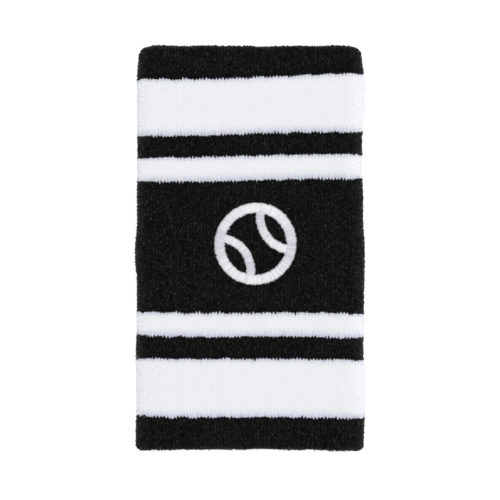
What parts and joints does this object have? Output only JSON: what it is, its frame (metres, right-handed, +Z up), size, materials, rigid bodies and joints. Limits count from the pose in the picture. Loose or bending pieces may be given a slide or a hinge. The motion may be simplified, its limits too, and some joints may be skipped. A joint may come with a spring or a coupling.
{
  "type": "sweat wristband",
  "caption": "Long double-ply terry wristband, lying flat, striped in black and white, with a stitched ball emblem.",
  "frame": {"origin": "centre of the flat underside, where the band lies on a surface", "axes": "+X across the flat width, +Y along the tube towards the end with the closing seam, +Z up through the two walls towards the face with the emblem"},
  "size_m": [0.072, 0.127, 0.0135],
  "materials": {
    "black_pile": "black cotton terry loops",
    "white_pile": "white cotton terry loops",
    "ground_knit": "flat black knitted ground",
    "elastic": "covered rubber strand",
    "seam_thread": "black linking thread",
    "emblem_thread": "white satin stitch, soft sheen",
    "backing": "white non-woven backing",
    "bobbin_thread": "white spun bobbin thread"
  },
  "bodies": {
    "root": {"outer_pile_1_black": "black_pile", "outer_pile_2_white": "white_pile", "outer_pile_3_black": "black_pile", "outer_pile_4_white": "white_pile", "outer_pile_5_black": "black_pile", "outer_pile_6_white": "white_pile", "outer_pile_7_black": "black_pile", "outer_pile_8_white": "white_pile", "outer_pile_9_black": "black_pile", "lining_pile_upper": "black_pile", "lining_pile_lower": "black_pile", "ground_knit_tube": "ground_knit", "elastic_strands_outer": "elastic", "elastic_strands_lining": "elastic", "closing_seam_thread": "seam_thread", "emblem_ring_satin": "emblem_thread", "emblem_left_arc_satin": "emblem_thread", "emblem_right_arc_satin": "emblem_thread", "emblem_underlay": "emblem_thread", "emblem_backing": "backing", "emblem_bobbin_thread": "bobbin_thread"}
  },
  "joints": []
}
